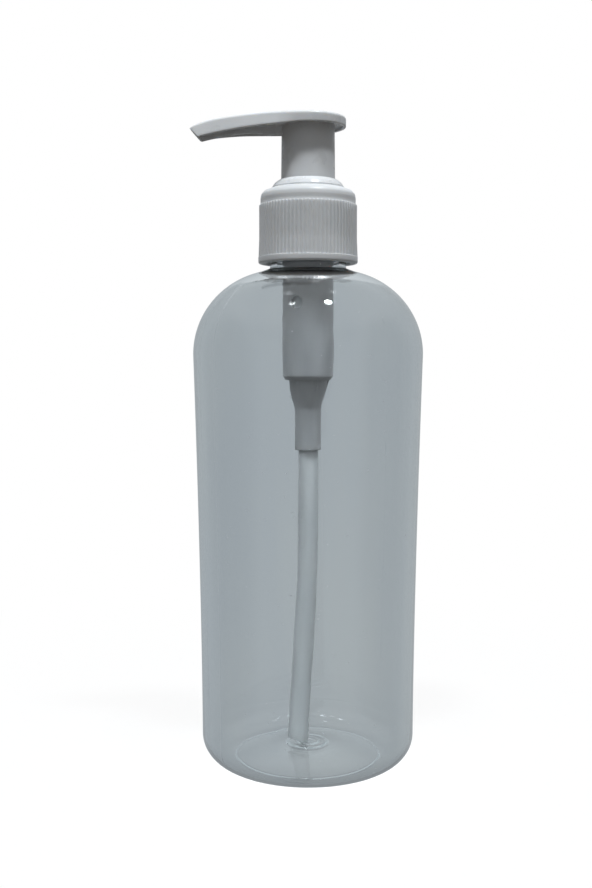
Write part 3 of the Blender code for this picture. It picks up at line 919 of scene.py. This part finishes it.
CLOSURE = [
    (CAP_HOLE_R, DECK_TOP, 0.2),
    (11.2, DECK_TOP, 1.6),
    (13.3, 175.05, 1.6),
    (14.2, 174.1, 1.6),
    (TIER_R, 172.9, 1.6),
    (TIER_R, RIB_Z[1] + 0.2, 0),
    (TIER_R + 0.08, RIB_Z[1] + 0.05, 0),
    (RIB_R[1] - RIB_DEPTH, RIB_Z[1] - 0.2, 0),
    (RIB_R[1] - RIB_DEPTH, 161.0, 20),
    (RIB_R[0] - RIB_DEPTH, RIB_Z[0], 0),
    (BAND_R, RIB_Z[0] - 0.05, 0.12),
    (BAND_R, RIM_Z + 0.05, 0.6),
    (CAP_BORE + 0.3, RIM_Z, 0.3),
    (CAP_BORE, 154.4, 0.3),
    (CAP_BORE, 172.3, 0.4),
    (CAP_BORE - 0.5, DECK_Z, 0.2),
    (CAP_HOLE_R, DECK_Z, 0.2),
]


def closure_relief(radius, height, angle):
    """Grip ribs: narrow rounded crests round the outside, cut off square at the top. Thread: a bead that
    stands into the bore along its helix."""
    wave = 0.5 + 0.5 * np.cos(RIB_COUNT * angle)
    crest = ramp(wave, 0.45, 0.95)
    grip = RIB_DEPTH * crest * ((radius > TIER_R) & (height > RIB_Z[0] - 0.01) & (height < RIB_Z[1] - 0.1))
    bead = thread_bead(height, angle, 0.6, 0.5)
    return radius + grip - 0.65 * bead * (radius < 12.6) * (height > 155) * (height < 169)


closure_section = finer(rounded(CLOSURE), 0.8, closed=True)
closure_grid = turned_grid(closure_section, even(RIB_COUNT * 8), closure_relief)
closure = shell("screw_closure", closure_grid, wrap_rows=True)
closure_pp = white_plastic("closure_pp", (0.78, 0.795, 0.805), (0.82, 0.83, 0.84), 0.30)
closure.data.materials.append(closure_pp)
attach(closure, "closure")
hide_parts("closure_cap")

# ---------------------------------------------------------------------------------------------------
# Head. White polypropylene: a long low plate, slightly hollow below, whose arm droops to an outlet cut on a
# slant; the spout's tube runs under it, and a skirt and an inner socket hang down round the stem.

HEAD_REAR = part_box("pump_head")[1].x / MM
HEAD_HALF = 10.9
HEAD_TIP_X = -36.5
HEAD_TIP_HALF = 3.6
HEAD_WALL = 1.1
HEAD_EDGE = 0.85  # rounding of the upper edge
HEAD_RECESS = 0.8  # depth of the hollow below
CROWN = 0.4
ARM_DRAFT = 0.5  # how far the arm's wall leans in towards its top
HEAD_TOP = ((-36.5, 193.6), (-33, 194.85), (-29.3, 195.8), (-24.8, 196.35), (-20.2, 196.7), (-15.6, 196.9),
            (-11, 197.0), (12.4, 197.0))
HEAD_RIM = ((-36.5, 189.6), (-33, 190.7), (-29.3, 191.5), (-24.8, 192.2), (-20.2, 192.75), (-15.6, 193.1),
            (-11.2, 193.35), (-6.6, 193.6), (-2.5, 193.9), (12.4, 194.1))
TIP_CUT = ((-35.7, 193.9), (-32.2, 190.1))  # the slanted face at the outlet, in x and z
SPOUT_ROUTE = ((-36, 191.3), (-31, 192.6), (-25, 193.8), (-20.4, 194.5), (-14, 194.5), (-5, 194.3))
SPOUT_R = 2.3
OUTLET_R = 1.4
SKIRT_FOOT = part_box("pump_head")[0].z / MM
SKIRT_BORE = 7.15
SOCKET_HUB_R = 5.5
HUB_FOOT = 184.0


def head_plan():
    """Loop of the head seen from above, as the nearest point of its middle line, the direction away from that
    and the distance: an S curve from the narrow tip to the full width, then a half circle round the stem."""
    tip_centre = HEAD_TIP_X + HEAD_TIP_HALF
    nose = np.radians(np.linspace(180, 90, 10))[:-1]
    along = np.linspace(tip_centre, 0, 90)
    rear = np.radians(np.linspace(90, 0, 30))[1:]
    widen = ramp(along, HEAD_TIP_X, 0)
    middle = np.concatenate((np.full(len(nose), tip_centre), along, 0 * rear))
    facing = np.concatenate((nose, np.full(len(along), math.pi / 2), rear))
    reach = np.concatenate(
        (
            np.full(len(nose), HEAD_TIP_HALF + (HEAD_HALF - HEAD_TIP_HALF) * widen[0]),
            HEAD_TIP_HALF + (HEAD_HALF - HEAD_TIP_HALF) * widen,
            HEAD_HALF + (HEAD_REAR - HEAD_HALF) * np.cos(rear) ** 2,
        )
    )
    back = slice(-2, 0, -1)
    return (
        np.concatenate((middle, middle[back])),
        np.concatenate((facing, -facing[back])),
        np.concatenate((reach, reach[back])),
    )


def head_shell():
    """Closed shell over the plan's loop. Each row is an inset from the loop: over the crowned top from the
    middle line, round the upper edge, down the wall, round the rim, up into the shallow hollow and back to
    the middle line. Near the tip the hollow is filled."""
    middle, facing, reach = head_plan()
    quarter = np.radians(np.linspace(0, 90, 8))
    rows = [("roof", share, 0.0) for share in np.linspace(0, 1, 12)[:-1]]
    rows += [("edge", HEAD_EDGE * (1 - math.sin(a)), HEAD_EDGE * (1 - math.cos(a))) for a in quarter]
    rows += [("wall", 0.0, share) for share in np.linspace(0, 1, 7)[1:-1]]
    rows += [("rim", 0.22 * (1 - math.cos(a)), 0.22 * (1 - math.sin(a))) for a in quarter[::2]]
    rows += [("rim", HEAD_WALL - 0.22 * (1 - math.cos(a)), 0.22 * (1 - math.sin(a))) for a in quarter[::-2]]
    rows += [("inner", HEAD_WALL + 0.3 * (1 - math.cos(a)), math.sin(a)) for a in quarter[1::2]]
    rows += [("ceiling", share, 0.0) for share in np.linspace(1, 0, 12)[1:]]
    grid = []
    lean = ARM_DRAFT * ramp(-middle, 2, 12)
    for kind, first, second in rows:
        if kind == "roof":
            out = first * (reach - HEAD_EDGE - lean)
        elif kind in ("edge", "wall"):
            out = reach - first - lean * (1 - second * (kind == "wall"))
        elif kind == "ceiling":
            out = first * (reach - HEAD_WALL - 0.3)
        else:
            out = reach - first
        x = middle + out * np.cos(facing)
        y = out * np.sin(facing)
        top = smooth_through(HEAD_TOP, x) + CROWN * (1 - (out / reach) ** 2) * ramp(x, -38, -20)
        rim = smooth_through(HEAD_RIM, x)
        ceiling = rim + 0.3 + (HEAD_RECESS - 0.3) * (1 - ramp(-x, 27.5, 31.5))
        if kind == "roof":
            z = top
        elif kind == "edge":
            z = top - second
        elif kind == "wall":
            z = (top - HEAD_EDGE) * (1 - second) + (rim + 0.22) * second
        elif kind == "rim":
            z = rim + second
        elif kind == "inner":
            z = (rim + 0.22) * (1 - second) + ceiling * second
        else:
            z = ceiling
        grid.append(np.column_stack((x, y, z)))
    return np.array(grid)


def flat_block(outline, half_depth):
    """Block between two upright planes y = -half_depth and y = half_depth, from its (x, z) outline."""
    x, z = np.array(outline, float).T
    middle = np.column_stack((x * 0 + x.mean(), x * 0, z * 0 + z.mean()))
    rows = [np.column_stack((x, x * 0 + side, z)) for side in (-half_depth, half_depth)]
    return np.array([middle - (0, half_depth, 0), *rows, middle + (0, half_depth, 0)])


head = shell("pump_actuator", head_shell())
skirt = turned(
    "skirt",
    [
        (SKIRT_BORE, 196.6, 0),
        (8.6, 196.6, 0),
        (8.0, 195.6, 0.5),
        (8.0, 193.0, 2.0),
        (8.15, 178.5, 2.0),
        (8.15, SKIRT_FOOT, 0.2),
        (SKIRT_BORE, SKIRT_FOOT, 0.2),
    ],
    160,
    0.9,
)
cut(head, skirt, "UNION")
stem_hole = STEM_R + 0.3
hub = turned(
    "hub",
    [
        (0, 196.6, 0),
        (SOCKET_HUB_R, 196.6, 0),
        (SOCKET_HUB_R, HUB_FOOT, 0.25),
        (stem_hole, HUB_FOOT, 0.25),
        (stem_hole, STEM_TOP + 0.3, 0),
        (OUTLET_R, STEM_TOP + 0.3, 0),
        (OUTLET_R, 195.2, 0),
        (0, 195.2, 0),
    ],
    96,
    1.0,
)
cut(head, hub, "UNION")


def spout_bar(first_x, last_x, radius):
    """Round bar along the spout's route with flat ends."""
    x = np.linspace(first_x, last_x, 48)
    path = np.column_stack((x, 0 * x, smooth_through(SPOUT_ROUTE, x)))
    path = path[[0, *range(len(path)), -1]]
    path[0] += (0.001, 0, 0)
    path[-1] -= (0.001, 0, 0)
    out = np.broadcast_to(np.array((0.0, 1.0, 0.0)), path.shape)
    width = np.concatenate(([0], np.full(len(x), radius), [0]))
    return shell("bar", carried(path, out, width, 40))


cut(head, spout_bar(-5, -36, SPOUT_R), "UNION")
cut(head, spout_bar(0, -36, OUTLET_R))
(high_x, high_z), (low_x, low_z) = TIP_CUT
slope = (high_x - low_x) / (high_z - low_z)
cut_top = (high_x + slope * (204 - high_z), 204)
cut_foot = (low_x + slope * (180 - low_z), 180)
off_tip = [cut_top, cut_foot, (-60, 180), (-60, 204)]
cut(head, shell("tip_block", flat_block(off_tip, 14)))
close_up(head)
head.data.materials.append(white_pp)
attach(head, "head")
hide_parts("pump_head")

# ---------------------------------------------------------------------------------------------------
# Table and light. A seamless pale floor, two compact lamps high in front on the left and right, and dim
# surroundings that are brightest overhead.

FLOOR_HALF = 4.0
# What glass and gloss see on the left and on the right
SURROUND = ((0.385, 0.42, 0.445), (0.41, 0.437, 0.452))
# Light from below, the sides and above
GLOW = ((0.06, 0.052, 0.045), (0.115, 0.11, 0.105), (0.36, 0.375, 0.39))
CEILING = (0.60, 0.64, 0.665)  # what they see overhead
UNDER = (0.25, 0.27, 0.285)  # and below the table's edge and far to the sides
BACKDROP = (1.0, 1.0, 1.0)


def pale_floor():
    """Pale paper: it takes a little shade close to the bottle and runs out into the backdrop."""
    material, nodes = finish_of("pale_floor")
    place = nodes.node("ShaderNodeTexCoord", output=3)
    far = nodes.node("ShaderNodeVectorMath", {"operation": "LENGTH"}, {0: place}, output=1)
    near = 0.12 * (1 - far.between(0.04, 0.24))
    glow = nodes.node("ShaderNodeEmission", {}, {"Color": (*BACKDROP, 1.0)})
    paper = nodes.node("ShaderNodeBsdfDiffuse", {}, {"Color": (0.95, 0.95, 0.95, 1.0)})
    both = nodes.node("ShaderNodeMixShader", {}, {0: near, 1: glow, 2: paper})
    nodes.node("ShaderNodeOutputMaterial", {}, {0: both})
    return material


corners = FLOOR_HALF / MM * np.array((((-1, -1, 0), (1, -1, 0)), ((-1, 1, 0), (1, 1, 0))))
floor = shell("floor", corners, wrap_columns=False)
floor.data.materials.append(pale_floor())
floor.visible_diffuse = floor.visible_glossy = floor.visible_transmission = False

world = bpy.data.worlds.new("studio")
bpy.context.scene.world = world
world.use_nodes = True
world.node_tree.nodes.clear()
world.cycles.sampling_method = "NONE"
sky = Wire(world.node_tree)
seen = sky.node("ShaderNodeLightPath", output=0)
spread = sky.node("ShaderNodeLightPath", output="Diffuse Depth").between(0, 1)
way = sky.node("ShaderNodeTexCoord")
sideways = sky.node("ShaderNodeSeparateXYZ", {}, {0: way})
upright = sky.node("ShaderNodeSeparateXYZ", {}, {0: way}, 2)
glow = upright.between(0.0, 0.9).tint(GLOW[1], GLOW[2])
colours = {"data_type": "RGBA"}
across = sky.maths("ABSOLUTE", sideways)
gloss = sideways.between(-0.6, 0.6).tint(*SURROUND)
gloss = sky.node("ShaderNodeMix", colours, {0: upright.between(0.35, 0.75), 6: gloss, 7: (*CEILING, 1.0)}, 2)
for share in ((-1 * upright).between(0.25, 0.6), across.between(0.75, 0.95)):
    gloss = sky.node("ShaderNodeMix", colours, {0: share, 6: gloss, 7: (*UNDER, 1.0)}, 2)
glow = sky.node("ShaderNodeMix", colours, {0: upright.between(-0.3, 0.05), 6: (*GLOW[0], 1.0), 7: glow}, 2)
around = sky.node("ShaderNodeMix", colours, {0: spread, 6: gloss, 7: glow}, 2)
around = sky.node("ShaderNodeMix", colours, {0: seen, 6: around, 7: (*BACKDROP, 1.0)}, 2)
sky.node("ShaderNodeOutputWorld", {}, {0: sky.node("ShaderNodeBackground", {}, {"Color": around})})

MIDDLE = np.array((0.0, 0.0, 0.1))


def lamp(name, direction, distance, size, power, glossy=True):
    """Round bluish lamp in that direction from the bottle's middle, facing it."""
    data = bpy.data.lights.new(name, "AREA")
    data.shape = "DISK"
    data.size = size
    data.energy = power
    data.color = (0.93, 0.97, 1.0)
    obj = bpy.data.objects.new(name, data)
    direction = np.array(direction) / np.linalg.norm(direction)
    obj.location = MIDDLE + direction * distance
    obj.rotation_mode = "QUATERNION"
    obj.rotation_quaternion = Vector(direction).to_track_quat("Z", "Y")
    obj.visible_glossy = glossy
    bpy.context.scene.collection.objects.link(obj)


lamp("left_lamp", (-0.20, -0.285, 0.937), 1.5, 0.14, 10.5, glossy=False)
lamp("right_lamp", (0.245, -0.245, 0.937), 1.5, 0.14, 10.5)

camera_data = bpy.data.cameras.new("camera")
camera_data.lens = 43.9
camera_data.sensor_width = 36.0
camera_data.clip_start = 0.01
camera = bpy.data.objects.new("camera", camera_data)
camera.location = (0.0, -0.3328, 0.1258)
camera.rotation_euler = (math.radians(90 - 4.69), 0.0, math.radians(0.63))
bpy.context.scene.collection.objects.link(camera)
bpy.context.scene.camera = camera
bpy.context.scene.view_settings.view_transform = "Standard"
